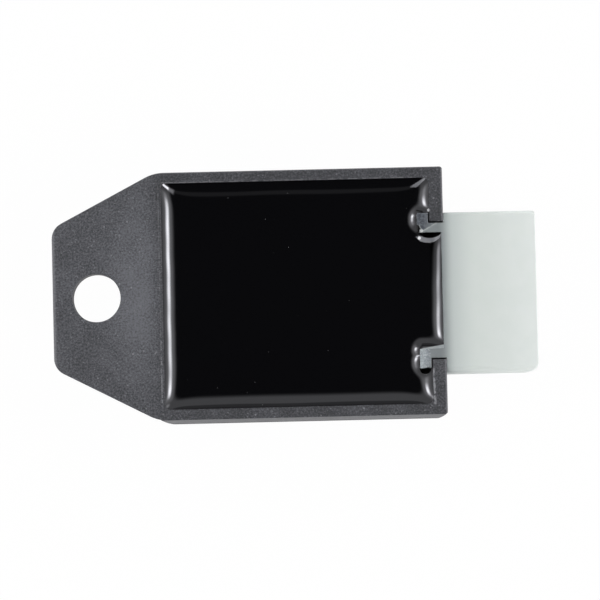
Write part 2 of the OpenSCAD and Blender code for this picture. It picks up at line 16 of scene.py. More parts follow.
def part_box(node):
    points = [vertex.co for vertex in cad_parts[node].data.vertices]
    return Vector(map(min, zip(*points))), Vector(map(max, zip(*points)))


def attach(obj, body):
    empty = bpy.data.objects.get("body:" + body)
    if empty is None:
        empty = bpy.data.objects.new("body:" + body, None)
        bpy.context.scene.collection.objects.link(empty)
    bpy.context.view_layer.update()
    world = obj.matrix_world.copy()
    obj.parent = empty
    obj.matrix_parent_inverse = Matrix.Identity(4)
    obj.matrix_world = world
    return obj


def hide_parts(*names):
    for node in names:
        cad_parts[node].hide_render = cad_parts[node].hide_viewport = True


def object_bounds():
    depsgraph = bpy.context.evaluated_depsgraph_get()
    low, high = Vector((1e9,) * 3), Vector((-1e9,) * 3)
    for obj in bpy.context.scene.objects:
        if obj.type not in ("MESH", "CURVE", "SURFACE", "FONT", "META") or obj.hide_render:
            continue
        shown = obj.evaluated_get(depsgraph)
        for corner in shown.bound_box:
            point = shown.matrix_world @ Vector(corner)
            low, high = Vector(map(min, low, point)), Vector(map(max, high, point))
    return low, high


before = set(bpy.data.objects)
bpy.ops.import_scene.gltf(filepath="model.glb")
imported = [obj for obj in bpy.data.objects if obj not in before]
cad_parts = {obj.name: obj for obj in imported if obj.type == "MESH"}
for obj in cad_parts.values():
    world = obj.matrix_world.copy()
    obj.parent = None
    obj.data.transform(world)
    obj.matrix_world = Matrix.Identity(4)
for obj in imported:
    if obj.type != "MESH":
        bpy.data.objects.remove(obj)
cad_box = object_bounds()
MM = 0.001


def in_mm(vector):
    return [round(value / MM, 2) for value in vector]


print("nodes", len(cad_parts), "box in mm", in_mm(cad_box[0]), in_mm(cad_box[1]))

# %% [markdown]
# The camera comes first, because everything else is judged through it. The picture was taken from almost
# straight above, half a metre up and a hand's breadth towards the front, with the part turned a little on the
# table. A long lens gives the same flat view. Its focal length follows from the scale of the picture: so many
# pixels to a millimetre, at that distance, on a sensor of a known width.

# %% Camera
PICTURE_WIDTH = 600
PIXELS_PER_MM = 6.705
SENSOR_WIDTH_MM = 36
camera_place = Vector((28.5, -22, 500)) * MM
camera_aim = Vector((30.35, -1.0, 0)) * MM
camera_roll = math.radians(-1.35)


def look_at(place, aim, roll):
    forward = (aim - place).normalized()
    right = forward.cross(Vector((0, 1, 0))).normalized()
    up = right.cross(forward)
    turn = Matrix((right, up, -forward)).transposed().to_4x4()
    return Matrix.Translation(place) @ turn @ Matrix.Rotation(roll, 4, "Z")


lens = bpy.data.cameras.new("camera")
lens.sensor_width = SENSOR_WIDTH_MM
aim_distance_mm = (camera_aim - camera_place).length / MM
lens.lens = PIXELS_PER_MM * aim_distance_mm * SENSOR_WIDTH_MM / PICTURE_WIDTH
lens.clip_start = 0.01
camera = bpy.data.objects.new("camera", lens)
camera.matrix_world = look_at(camera_place, camera_aim, camera_roll)
bpy.context.scene.collection.objects.link(camera)
bpy.context.scene.camera = camera
print("lens", round(lens.lens, 1), "mm")

# %% [markdown]
# A finish is a material made of nodes. Wiring nodes by hand hides the sums they do, so a small class wraps
# an output socket and lets Python's own operators add the Math nodes. One method makes every other node: it
# takes the node's type, its settings and what goes into its sockets. Most masks are smooth rises and bands,
# because a hard edge looks cut out.

# %% Wires and finishes
class Wire:
    """An output socket of a finish. Sums with it add Math nodes."""

    def __init__(self, finish, socket):
        self.finish = finish
        self.socket = socket

    def math(self, operation, first, second=0.0):
        return self.finish.node("ShaderNodeMath", {"operation": operation}, {0: first, 1: second})

    def __add__(self, other):
        return self.math("ADD", self, other)

    def __radd__(self, other):
        return self.math("ADD", other, self)

    def __sub__(self, other):
        return self.math("SUBTRACT", self, other)

    def __rsub__(self, other):
        return self.math("SUBTRACT", other, self)

    def __mul__(self, other):
        return self.math("MULTIPLY", self, other)

    def __rmul__(self, other):
        return self.math("MULTIPLY", other, self)

    def __abs__(self):
        return self.math("ABSOLUTE", self)

    def most(self, other):
        return self.math("MAXIMUM", self, other)

    def least(self, other):
        return self.math("MINIMUM", self, other)

    def rise(self, start, end):
        """0 up to start, 1 from end on, and a smooth rise between. With end below start it falls."""
        settings = {"interpolation_type": "SMOOTHSTEP"}
        if start < end:
            sockets = {"Value": self, "From Min": start, "From Max": end}
            return self.finish.node("ShaderNodeMapRange", settings, sockets)
        return 1 - self.rise(end, start)

    def band(self, start, full, fade, end):
        """1 from full to fade, 0 before start and after end, and smooth slopes between."""
        return self.rise(start, full) * self.rise(end, fade)


class Graph:
    """A node tree, with one method that makes any node."""

    def __init__(self, tree):
        self.tree = tree

    def node(self, kind, settings=None, sockets=None, out=0):
        made = self.tree.nodes.new(kind)
        for name, value in (settings or {}).items():
            setattr(made, name, value)
        for key, value in (sockets or {}).items():
            self.feed(made.inputs[key], value)
        return Wire(self, made.outputs[out])

    def feed(self, socket, value):
        if isinstance(value, Wire):
            self.tree.links.new(value.socket, socket)
        else:
            socket.default_value = value

    def axes(self, vector):
        split = self.node("ShaderNodeSeparateXYZ", sockets={0: vector})
        return [Wire(self, socket) for socket in split.socket.node.outputs]


class Finish(Graph):
    """A material under construction, with its shader at hand."""

    def __init__(self, name, constants=None):
        self.material = bpy.data.materials.new(name)
        self.material.use_nodes = True
        super().__init__(self.material.node_tree)
        self.shader = self.tree.nodes["Principled BSDF"]
        self.place = self.node("ShaderNodeTexCoord", out="Object")
        for socket, value in (constants or {}).items():
            self.set(socket, value)

    def set(self, socket, value):
        self.feed(self.shader.inputs[socket], value)

    def vector(self, operation, first, second, out=0):
        return self.node("ShaderNodeVectorMath", {"operation": operation}, {0: first, 1: second}, out)

    def noise(self, per_mm, detail=2.0, roughness=0.5, place=None):
        return self.node("ShaderNodeTexNoise", sockets={
            "Vector": place or self.place, "Scale": per_mm / MM, "Detail": detail, "Roughness": roughness,
        })

    def cells(self, per_mm, out):
        sockets = {"Vector": self.place, "Scale": per_mm / MM}
        return self.node("ShaderNodeTexVoronoi", sockets=sockets, out=out)

    def chance(self, per_mm):
        """One random number for each small cell of the surface."""
        return self.node("ShaderNodeSeparateColor", sockets={0: self.cells(per_mm, "Color")})

    def dots(self, per_mm, size):
        """Small round spots, one to a cell, whose diameter is a share of the cell."""
        return self.cells(per_mm, "Distance").rise(size, size / 2)

    def blend(self, mask, first, second):
        return self.node("ShaderNodeMix", {"data_type": "RGBA"}, {0: mask, 6: first, 7: second}, out=2)

    def bump(self, height, depth_mm, strength=1.0):
        sockets = {"Strength": strength, "Distance": depth_mm * MM, "Height": height}
        self.set("Normal", self.node("ShaderNodeBump", sockets=sockets))


def linear(value):
    share = value / 255
    return share / 12.92 if share <= 0.04045 else ((share + 0.055) / 1.055) ** 2.4


def shade(red, green, blue):
    """A colour as a screen shows it, 0 to 255, turned into the linear values that shaders use."""
    return (linear(red), linear(green), linear(blue), 1)


print("a mid grey of 128 is", round(linear(128), 3), "in linear light")

# %% [markdown]
# The table is a wide white disc just under the fins. Seen by the camera, or mirrored in something shiny, it
# glows a plain white, as a lit paper sweep does. A small share of it stays ordinary matt white, and that
# share carries the part's soft shadow.

# %% Table
TABLE_RADIUS = 3.0
TABLE_GLOW = 0.98


def table_finish():
    paper = Finish("white_paper", {"Base Color": shade(250, 250, 250), "Roughness": 0.9})
    rays = paper.node("ShaderNodeLightPath").socket.node.outputs
    seen = Wire(paper, rays["Is Camera Ray"])
    for ray in ("Is Glossy Ray", "Is Transmission Ray"):
        seen = seen.most(Wire(paper, rays[ray]))
    glow = paper.node("ShaderNodeEmission", sockets={"Color": (1, 1, 1, 1), "Strength": 1.0})
    matt = Wire(paper, paper.shader.outputs[0])
    mixed = paper.node("ShaderNodeMixShader", sockets={0: seen * TABLE_GLOW, 1: matt, 2: glow})
    paper.feed(paper.tree.nodes["Material Output"].inputs["Surface"], mixed)
    return paper.material


disc = bmesh.new()
bmesh.ops.create_circle(disc, cap_ends=True, segments=96, radius=TABLE_RADIUS)
bmesh.ops.translate(disc, verts=disc.verts, vec=(0, 0, cad_box[0][2]))
table_mesh = bpy.data.meshes.new("table")
disc.to_mesh(table_mesh)
disc.free()
table_mesh.materials.append(table_finish())
table = bpy.data.objects.new("table", table_mesh)
bpy.context.scene.collection.objects.link(table)
print("table at", round(cad_box[0][2] / MM, 2), "mm")

# %% [markdown]
# The resin is a black mirror, so the light is planned from what the resin shows. Its flat middle mirrors a
# dark ceiling. Where it climbs the walls it mirrors grey cloth all round, almost nothing in front, and a
# bright lamp on the left and on the right, each fading softly into the cloth. A slim lamp in the right front
# corner draws the streak in the recess's far left corner, and a small one behind on the right shows in the
# near left corner. Lamps with hard edges would draw hard lines, so this light tent is painted on the world
# instead: each part of it is a mask over the direction in which a ray leaves, with smooth ends. Low down a
# pale band goes all the way round and lights the part's sides. The camera itself sees plain white.

# %% Light tent
STRIP_GLOW = 13.0
STRIP_TAIL = 0.12
SIDE_GLOW = 0.8
CLOTH_GLOW = 0.7
FRONT_GLOW = 0.11
CORNER_GLOW = 14.0
CORNER_TAIL_GLOW = 2.0
BACK_GLOW = 2.5
BAND_GLOW = 1.2
ROOM_GLOW = 0.012

# Places on the tent are sines of a ray's angle towards the east, the north or straight up
STRIP_BAND = (0.535, 0.63, 0.63, 0.745)
STRIP_HALF = 0.165
TAIL_BAND = (-0.25, -0.05, 0.10, 0.30)
EAST_STRIP_NORTH = 0.095
WEST_STRIP_NORTH = 0.15
SIDE_BAND = (0.38, 0.53, 0.70, 0.86)
SIDE_NORTH_BAND = (-0.30, 0.0, 0.25, 0.45)
CORNER_TILT = math.radians(27.8)
CORNER_OFFSET = 0.1845
CORNER_BAND = (0.49, 0.55, 0.72, 0.78)
CORNER_TAIL_BAND = (0.33, 0.39, 0.55, 0.61)
BACK_LAMP = (0.62, 0.56)
CLOTH_BAND = (0.36, 0.60, 0.85, 0.925)
FRONT_EDGE_BAND = (-0.45, -0.40, -0.33, -0.28)

world = bpy.data.worlds.new("light_tent")
world.use_nodes = True
bpy.context.scene.world = world
bpy.context.scene.view_settings.view_transform = "Standard"
tent = Graph(world.node_tree)
direction = tent.node("ShaderNodeTexCoord", out="Generated")
east, north, up = tent.axes(direction)


def side_lamp(toward, middle):
    """The lamp and the cloth on one side, and where on the north axis the lamp has its middle."""
    core = abs(north - middle).rise(STRIP_HALF, 0)
    lamp = toward.band(*STRIP_BAND) * (core + north.band(*TAIL_BAND) * STRIP_TAIL)
    cloth = toward.band(*SIDE_BAND) * north.band(*SIDE_NORTH_BAND)
    return lamp * STRIP_GLOW + cloth * SIDE_GLOW


def corner_lamp():
    """The slim lamp in the right front corner: a bright part and a dimmer tail along one slanting line."""
    along = east * math.cos(CORNER_TILT) - north * math.sin(CORNER_TILT)
    across = abs(east * math.sin(CORNER_TILT) + north * math.cos(CORNER_TILT) + CORNER_OFFSET)
    bright = along.band(*CORNER_BAND) * across.rise(0.11, 0.03) * CORNER_GLOW
    tail = along.band(*CORNER_TAIL_BAND) * across.rise(0.16, 0.04) * CORNER_TAIL_GLOW
    return bright + tail


def back_lamp():
    """The small lamp behind on the right, round in plan."""
    off_east = east - BACK_LAMP[0]
    off_north = north - BACK_LAMP[1]
    return (off_east * off_east + off_north * off_north).rise(0.04, 0.004) * BACK_GLOW


def round_cloth():
    """Grey cloth all the way round, open in front and dimmer low at the back."""
    front = north.rise(-0.10, -0.25) * abs(east).rise(0.42, 0.25)
    low_back = north.rise(0.72, 0.76)
    return up.band(*CLOTH_BAND) * (1 - front) * (1 - 0.6 * low_back) * CLOTH_GLOW


def front_edge():
    """A faint sheet in front, which draws the dim line along the far wall."""
    return north.band(*FRONT_EDGE_BAND) * abs(east).rise(0.42, 0.30) * FRONT_GLOW


light = side_lamp(east, EAST_STRIP_NORTH) + side_lamp(0 - east, WEST_STRIP_NORTH)
light = light + corner_lamp() + back_lamp() + round_cloth() + front_edge()
light = light + up.rise(0.45, 0.30) * BAND_GLOW + ROOM_GLOW
seen_directly = tent.node("ShaderNodeLightPath", out="Is Camera Ray")
background = tent.tree.nodes["Background"]
tent.feed(background.inputs["Color"], (1, 1, 1, 1))
tent.feed(background.inputs["Strength"], seen_directly + (1 - seen_directly) * light)
print("tent nodes", len(tent.tree.nodes))

# %% [markdown]
# Pieces that replace a solid share two steps. The solid arrives as loose triangles, so a copy is merged and
# its flat triangles are joined back into whole faces. Then the sharp edges are bevelled a little, because a
# real casting or moulding has no perfectly sharp edge, and it is the rounded edge that catches the light.

# %% Making pieces from solids
MERGE = 0.002 * MM
FLAT_ANGLE = math.radians(0.5)
SHARP_ANGLE = math.radians(25)
CREASE_ANGLE = math.radians(40)


def whole_faces(node):
    bm = bmesh.new()
    bm.from_mesh(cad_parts[node].data)
    bmesh.ops.remove_doubles(bm, verts=bm.verts, dist=MERGE)
    bmesh.ops.dissolve_limit(bm, angle_limit=FLAT_ANGLE, verts=bm.verts, edges=bm.edges)
    return bm


def sharp_edges(bm):
    return [edge for edge in bm.edges if edge.is_manifold and edge.calc_face_angle() > SHARP_ANGLE]


def round_edges(bm, edges, radius, segments=3):
    bmesh.ops.bevel(bm, geom=edges, offset=radius, offset_type="OFFSET", affect="EDGES",
                    segments=segments, profile=0.5, material=-1)


def finish_piece(name, bm, finish, node, weighted=True):
    """Turns a bmesh into a piece that rides on the part and stands for one of its solids."""
    mesh = bpy.data.meshes.new(name)
    bm.to_mesh(mesh)
    bm.free()
    mesh.materials.append(finish)
    mesh.shade_smooth()
    piece = bpy.data.objects.new(name, mesh)
    bpy.context.scene.collection.objects.link(piece)
    if weighted:
        piece.modifiers.new("even_shading", "WEIGHTED_NORMAL")
    else:
        mesh.set_sharp_from_angle(angle=CREASE_ANGLE)
    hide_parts(node)
    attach(piece, "root")
    print(name, "stands for", node, "with", len(mesh.polygons), "faces")


# %% [markdown]
# The case is an aluminium casting with a thin dark coat. The coat is satin, blotchy over a few millimetres
# and grainy over a fifth of one, and a few grains sparkle. Burrs along the recess are rubbed bright in
# broken lines: one runs beside the recess on the lug, one on the far rim, and a ragged one on the end wall.
# A glint is painted on the end wall's edge, and the outer edges of the top are painted a little paler.
# The near side face is painted paler too, as a painted reflection of the white table.
# Noise at several scales makes the colour and the bump, and the lines are found from the distance to the
# recess's outline, so no picture is needed. Only the edges of the top face and of the fins' tips are
# bevelled, because those are the ones that were machined or rubbed.

# %% Case
CASE_EDGE = 0.18 * MM
END_WALL = 2.1 * MM
RIM_HALF = 18.5 * MM
# A glint painted on the end wall's edge, in mm, and its radius
EDGE_GLINT = (49.88, 12.0)
EDGE_GLINT_RADIUS = 0.26
BURR_SOFT = 0.05 * MM
BURR_END = 0.3 * MM
COAT_DARK = shade(39, 40, 44)
COAT_LIGHT = shade(101, 102, 108)
BARE_METAL = shade(163, 163, 168)
resin_low, resin_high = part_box("potting_compound")
case_low, case_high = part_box("heat_sink_case")
recess_low = Vector((resin_low.x, resin_low.y))
recess_high = Vector((case_high.x - END_WALL, resin_high.y))


def burr_line(distance, start_mm, end_mm):
    """A soft-edged line between two distances from an edge."""
    start = start_mm * MM
    end = end_mm * MM
    return distance.band(start - BURR_SOFT, start + BURR_SOFT, end - BURR_SOFT, end + BURR_SOFT)


def spot(x, y, middle_mm, radius_mm):
    """A soft round spot in plan."""
    off_x = (x - middle_mm[0] * MM) * (1 / (radius_mm * MM))
    off_y = (y - middle_mm[1] * MM) * (1 / (radius_mm * MM))
    return (off_x * off_x + off_y * off_y).rise(1.0, 0.3)


def recess_burrs(x, y, broken):
    """The bright broken lines beside the recess: on the lug, on the far rim and on the end wall."""
    inside_y = y.band(recess_low.y, recess_low.y + BURR_END, recess_high.y - BURR_END, recess_high.y)
    inside_x = x.band(recess_low.x, recess_low.x + BURR_END, recess_high.x - BURR_END, recess_high.x)
    lug_strength = 0.35 + 0.65 * y.rise(-4 * MM, -9 * MM)
    lug_burr = burr_line(recess_low.x - x, 0.32, 0.50) * inside_y * lug_strength
    rim_burr = burr_line(y - recess_high.y, 0.0, 0.14) * inside_x
    past_wall = x - recess_high.x + y.rise(-16.5 * MM, -12 * MM) * 0.15 * MM
    wall_burr = burr_line(past_wall, 0.1, 0.42) * y.rise(-11.4 * MM, -12 * MM)
    wall_burr = wall_burr * y.rise(recess_low.y - 0.2 * MM, recess_low.y + 0.1 * MM)
    return (lug_burr + rim_burr) * broken.rise(0.42, 0.56) + wall_burr * broken.rise(0.37, 0.51) * 1.5


def paler_outer_edges(x, y):
    """The outer edges of the top, painted paler: the lug's end, the end wall and, less, the far rim."""
    lug_end = x.rise(case_low.x + 0.62 * MM, case_low.x + 0.1 * MM)
    wall_end = x.rise(case_high.x - 0.4 * MM, case_high.x - 0.05 * MM)
    far_rim = y.rise(RIM_HALF - 0.3 * MM, RIM_HALF - 0.02 * MM)
    return lug_end.most(wall_end).most(far_rim * 0.6)


def case_finish():
    coat = Finish("case_coat")
    x, y, z = coat.axes(coat.place)
    on_top = z.rise(-0.5 * MM, -0.2 * MM)
    grain = coat.noise(3.4, detail=4.0, roughness=0.75)
    blotch = coat.noise(0.22, detail=4.0, roughness=0.6)
    broken = coat.noise(1.5, detail=3.0, roughness=0.7)
    glitter = coat.chance(5.5).rise(0.975, 0.998)
    # Burrs, and the painted glint on the end wall's edge
    burrs_and_glint = recess_burrs(x, y, broken) + spot(x, y, EDGE_GLINT, EDGE_GLINT_RADIUS) * 2
    burrs_and_glint = burrs_and_glint.least(2.0) * on_top
    paler_edges = paler_outer_edges(x, y) * on_top
    # Painted reflection: the near side face is painted paler, standing in for the white table mirrored in it
    flank_sheen = y.rise(0.2 * MM - RIM_HALF, -RIM_HALF) * (1 - on_top)
    specks = coat.dots(0.55, 0.10) * coat.chance(0.55).rise(0.55, 0.60) * on_top
    on_lug = x.rise(recess_low.x + 1 * MM, recess_low.x - 3 * MM)
    handled = x.rise(0, 5 * MM) * abs(y - 1 * MM).rise(16 * MM, 3 * MM) * on_lug
    tone = (grain - 0.5) * 2.4 + (blotch - 0.5) * 0.6 + 0.28 + on_lug * 0.17 + handled * 0.26
    bright = (burrs_and_glint * 0.45).most(paler_edges * 0.33).most(flank_sheen * 0.1)
    colour = coat.blend(tone.rise(0.0, 1.0), COAT_DARK, COAT_LIGHT)
    colour = coat.blend(glitter * 0.3 + specks * 0.4, colour, BARE_METAL)
    coat.set("Base Color", coat.blend(bright, colour, BARE_METAL))
    coat.set("Metallic", burrs_and_glint * 0.3 + glitter * 0.2)
    coat.set("Roughness", 0.68 - grain * 0.2)
    coat.bump(grain * 0.8 + burrs_and_glint * 0.6, 0.02, 0.5)
    return coat.material


case_bm = whole_faces("heat_sink_case")
case_sharp = sharp_edges(case_bm)
top_edges = [edge for edge in case_sharp if min(vert.co.z for vert in edge.verts) > case_high.z - MERGE]
fin_tips = [edge for edge in case_sharp if max(vert.co.z for vert in edge.verts) < case_low.z + MERGE]
print("case edges", len(top_edges), "on top,", len(fin_tips), "on fins")
round_edges(case_bm, top_edges + fin_tips, CASE_EDGE)
finish_piece("die_cast_case", case_bm, case_finish(), "heat_sink_case")

# %% [markdown]
# The resin was poured in as a liquid, and its surface still shows it: flat in the middle, climbing every wall
# and hook in a curve. That curve is what makes the bright lines along the walls, so it is modelled, not
# painted. A grid with close lines near the walls is cut to the recess's outline, and each of its points is
# lifted by a formula: the climb fades with distance from each wall, over the resin's own capillary length,
# and where two walls meet their climbs blend. Round the hooks the climb follows a rounded outline, which
# makes a collar. Two air pockets beside the hooks sink below the level.

# %% Resin surface
GRID_LINES = 260
GRID_CROWDING = 0.75
BAY_HALF = 8.7 * MM
NECK_HALF = 10.1 * MM
RESIN_CUT = -2.7 * MM
RECESS_CORNER = 0.8 * MM
CORNER_STEPS = 6
LEVEL = -1.6 * MM
CLIMB = 1.05 * MM
CAPILLARY = 1.9 * MM
COLLAR_REACH = 1.25 * MM
MITRE = 2
HIGHEST_CLIMB = 1.52
CLIMB_LIMIT_POWER = 10
POCKET_DEPTH = 0.15 * MM
POCKET_EDGE = 0.85
POCKET_STEEPNESS = 10
FAR = 1.0
shell_low, shell_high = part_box("connector_shell")
HOOK_X = shell_low.x
HOOK_HALF = shell_high.y

# Each wall: two corners, its share of the full climb at y = 0, and how that share grows along y, per metre
WALLS = [
    ((-FAR, -FAR), (recess_low.x, FAR), 1.10, 1.5),
    ((-FAR, recess_high.y), (FAR, FAR), 1.0, 0),
    ((-FAR, -FAR), (FAR, recess_low.y), 1.08, 0),
    ((recess_high.x, NECK_HALF), (FAR, FAR), 1.0, 0),
    ((recess_high.x, -FAR), (FAR, -NECK_HALF), 1.35, 18),
    ((resin_high.x, -FAR), (FAR, FAR), 0.96, -14),
]
# Each collar in mm: its two ends in y, the radius of its corners, and its share of the full climb
COLLARS = [(9.6, 11.75, 0.85, 0.72), (-9.4, -8.2, 0.55, 0.69), (-12.0, -9.6, 1.05, 0.69)]
# Each oval: its middle and its reach along x and y
UPPER_POCKET = (Vector((50.05, 8.7)) * MM, Vector((1.6, 0.82)) * MM)
LOWER_POCKET = (Vector((48.85, -11.6)) * MM, Vector((0.82, 0.86)) * MM)


def crowd(t):
    """Moves a grid line, -1 to 1, towards the ends."""
    return t + GRID_CROWDING * math.sin(math.pi * t) / math.pi


def gap(x, y, low, high):
    """The distance from a point to a box in plan."""
    return math.hypot(max(low[0] - x, 0, x - high[0]), max(low[1] - y, 0, y - high[1]))


def ripple(x, y):
    """A slow unevenness of the climb, so that the bright lines waver a little."""
    a = x / MM
    b = y / MM
    slow = 0.008 * math.sin(0.55 * b + 0.4) + 0.006 * math.sin(0.41 * a)
    return 1 + slow + 0.006 * math.sin(1.3 * b - 0.35 * a)


def wall_climb(x, y, low, high, share, lean):
    """The climb beside a wall, which fades over the capillary length."""
    return (share + lean * y) * math.exp(-gap(x, y, low, high) / CAPILLARY)


def collar_climb(x, y, low, high, corner, share):
    """The climb round a hook's end, which the resin sees as a block with rounded corners."""
    inner_low = (HOOK_X + corner * MM, (low + corner) * MM)
    inner_high = (FAR, (high - corner) * MM)
    return share * math.exp((corner * MM - gap(x, y, inner_low, inner_high)) / COLLAR_REACH)


def surface_height(x, y):
    climbs = [wall_climb(x, y, *wall) for wall in WALLS]
    climbs.append(max(collar_climb(x, y, *collar) for collar in COLLARS))
    climb = ripple(x, y) * sum(one ** MITRE for one in climbs) ** (1 / MITRE)
    limit = (1 + (climb / HIGHEST_CLIMB) ** CLIMB_LIMIT_POWER) ** (1 / CLIMB_LIMIT_POWER)
    height = LEVEL + CLIMB * climb / limit
    for centre, reach in (UPPER_POCKET, LOWER_POCKET):
        off = math.hypot((x - centre.x) / reach.x, (y - centre.y) / reach.y)
        height -= POCKET_DEPTH * (1 - math.tanh(POCKET_STEEPNESS * (off - POCKET_EDGE))) / 2
    return height


def cut(bm, faces, point, normal, clear=False):
    geom = list({item for face in faces for item in (face, *face.edges, *face.verts)})
    bmesh.ops.bisect_plane(bm, geom=geom, dist=MERGE, plane_co=point, plane_no=normal, clear_outer=clear)


def resin_plan():
    """The outline of the resin as a flat grid, with the hooks and the end wall cut away."""
    bm = bmesh.new()
    bmesh.ops.create_grid(bm, x_segments=GRID_LINES, y_segments=GRID_LINES, size=1)
    centre = Vector((resin_low.x + resin_high.x, resin_low.y + resin_high.y)) / 2
    half = Vector((resin_high.x - resin_low.x, resin_high.y - resin_low.y)) / 2
    for vert in bm.verts:
        vert.co.x = centre.x + half.x * crowd(vert.co.x)
        vert.co.y = centre.y + half.y * crowd(vert.co.y)
    for x in (HOOK_X, recess_high.x):
        cut(bm, bm.faces, (x, 0, 0), (1, 0, 0))
    for y in (BAY_HALF, HOOK_HALF):
        cut(bm, bm.faces, (0, y, 0), (0, 1, 0))
        cut(bm, bm.faces, (0, -y, 0), (0, -1, 0))
    gone = []
    for face in bm.faces:
        at = face.calc_center_median()
        in_wall = at.x > recess_high.x and abs(at.y) > BAY_HALF
        in_hook = at.x > HOOK_X and BAY_HALF < abs(at.y) < HOOK_HALF
        if in_wall or in_hook:
            gone.append(face)
    bmesh.ops.delete(bm, geom=gone, context="FACES")
    return bm


def round_recess_corners(bm):
    """Trims the four corners of the plan with planes that touch the recess's corner arcs."""
    for sx, x in ((-1, recess_low.x), (1, recess_high.x)):
        for sy, y in ((-1, recess_low.y), (1, recess_high.y)):
            centre = Vector((x - sx * RECESS_CORNER, y - sy * RECESS_CORNER, 0))
            for step in range(1, CORNER_STEPS):
                angle = math.radians(90 * step / CORNER_STEPS)
                out = Vector((sx * math.cos(angle), sy * math.sin(angle), 0))
                near = [face for face in bm.faces
                        if sx * (face.calc_center_median().x - centre.x) > -RECESS_CORNER
                        and sy * (face.calc_center_median().y - centre.y) > -RECESS_CORNER]
                cut(bm, near, centre + RECESS_CORNER * out, out, clear=True)


def resin_skin():
    """The curved surface, with a skirt down to the cut and a floor."""
    bm = resin_plan()
    round_recess_corners(bm)
    for vert in bm.verts:
        vert.co.z = surface_height(vert.co.x, vert.co.y)
    shore = [edge for edge in bm.edges if edge.is_boundary]
    for item in bmesh.ops.extrude_edge_only(bm, edges=shore)["geom"]:
        if isinstance(item, bmesh.types.BMVert):
            item.co.z = RESIN_CUT
    bmesh.ops.holes_fill(bm, edges=[edge for edge in bm.edges if edge.is_boundary], sides=0)
    bmesh.ops.recalc_face_normals(bm, faces=bm.faces)
    return bm


def resin_block():
    """The resin below its surface, from the solid, with the hollows round the parts that it holds."""
    bm = bmesh.new()
    bm.from_mesh(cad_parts["potting_compound"].data)
    bmesh.ops.remove_doubles(bm, verts=bm.verts, dist=MERGE)
    geom = list(bm.verts) + list(bm.edges) + list(bm.faces)
    made = bmesh.ops.bisect_plane(bm, geom=geom, dist=MERGE, plane_co=(0, 0, RESIN_CUT),
                                  plane_no=(0, 0, 1), clear_outer=True)
    rim = [item for item in made["geom_cut"] if isinstance(item, bmesh.types.BMEdge)]
    bmesh.ops.holes_fill(bm, edges=rim, sides=0)
    return bm


resin_bm = resin_skin()
block_bm = resin_block()
block_mesh = bpy.data.meshes.new("resin_block")
block_bm.to_mesh(block_mesh)
block_bm.free()
resin_bm.from_mesh(block_mesh)
bpy.data.meshes.remove(block_mesh)
print("open edges in the resin", sum(not edge.is_manifold for edge in resin_bm.edges))

# %% [markdown]
# The resin's finish is black and glossy, with a few grains of dust. Beside the upper hook a grey crescent is
# painted round the near side of the air pocket: a painted sheen with one painted glint, on a ring round the
# pocket's own outline. A grey streak in the far right corner is a painted reflection, and a pale skin lies
# along the lower hook's edge. The air pockets, and a shadow line above the upper hook, are painted shade: a
# dark metal stands in for them there, and it mirrors almost nothing. A weaker share of it is painted shade on
# the bay's slope, where it dims the bright line towards the far end. A glint is painted by the end wall too.

# %% Resin
# The oval of the painted grey sheen round the upper air pocket, and the painted glint on it
LIP_SHEEN = (Vector((49.75, 8.7)) * MM, Vector((2.0, 1.55)) * MM)
LIP_SLANT = 0.13
LIP_GLINT = (48.42, 7.91)
# Ends of the grey streak in the far right corner, a painted reflection
CORNER_STREAK = (Vector((47.95, 15.67)) * MM, Vector((49.75, 17.0)) * MM)
THREAD_TAPER = 0.12
HOOK_SKIN_SLANT = 0.155
# Ends of the painted shadow line above the upper hook
SHADOW_LINE = (Vector((48.05, 12.03)) * MM, Vector((49.0, 11.84)) * MM)


def within(finish, oval):
    """How far a point lies from the middle of an oval, as a share of the oval's reach."""
    centre, reach = oval
    off = finish.vector("SUBTRACT", finish.place, (*centre, 0))
    share = finish.vector("MULTIPLY", off, (1 / reach.x, 1 / reach.y, 0))
    return finish.vector("LENGTH", share, (0, 0, 0), out="Value")


def beside(x, y, start, end):
    """The distance to the left of a line from one point to another, as a sum of a finish's wires."""
    along = (end - start).normalized()
    return (y - start.y) * along.x - (x - start.x) * along.y


def painted_shadow_line(x, y):
    """A thin soft-edged stroke of painted shadow from one end of the shadow line to the other."""
    start, end = SHADOW_LINE
    soft = 0.06 * MM
    across = abs(beside(x, y, start, end)).rise(0.15 * MM, 0.03 * MM)
    return across * x.band(start.x - soft, start.x + soft, end.x - soft, end.x + soft)


def painted_lip_sheen(resin, x, y, pocket):
    """A frayed ring of painted grey sheen round the upper air pocket, on its near side only."""
    frayed = within(resin, LIP_SHEEN) + (resin.noise(1.6, detail=2.0) - 0.5) * 0.12
    near_side = (y - (x - LIP_SHEEN[0].x) * LIP_SLANT).rise(8.55 * MM, 8.1 * MM)
    return pocket.rise(0.97, 1.05) * frayed.rise(1.04, 0.94) * near_side


def painted_corner_streak(x, y):
    """A painted reflection: a grey streak in the far right corner, which tapers towards that corner."""
    start, end = CORNER_STREAK
    off = abs(beside(x, y, start, end)) + (x - start.x) * THREAD_TAPER
    return off.rise(0.38 * MM, 0.24 * MM) * y.rise(15.45 * MM, 15.6 * MM) * x.rise(47 * MM, 47.6 * MM)


def hook_skin(x, y):
    """The pale skin along the lower hook's edge, which widens towards the end wall."""
    edge = (y - (x - HOOK_X) * HOOK_SKIN_SLANT).rise(-8.62 * MM, -8.74 * MM)
    return edge * y.rise(-8.9 * MM, -8.8 * MM) * x.rise(HOOK_X, HOOK_X + 0.5 * MM)


def bay_reflection_dimming(x, y):
    """Painted shade that dims the bright line on the slope by the socket's neck, strongest towards the upper
    hook.
    """
    on_slope = x.rise(resin_high.x - 1.9 * MM, resin_high.x - 1.4 * MM)
    return on_slope * y.band(-4 * MM, 6 * MM, 7.6 * MM, 8.2 * MM) * 0.6


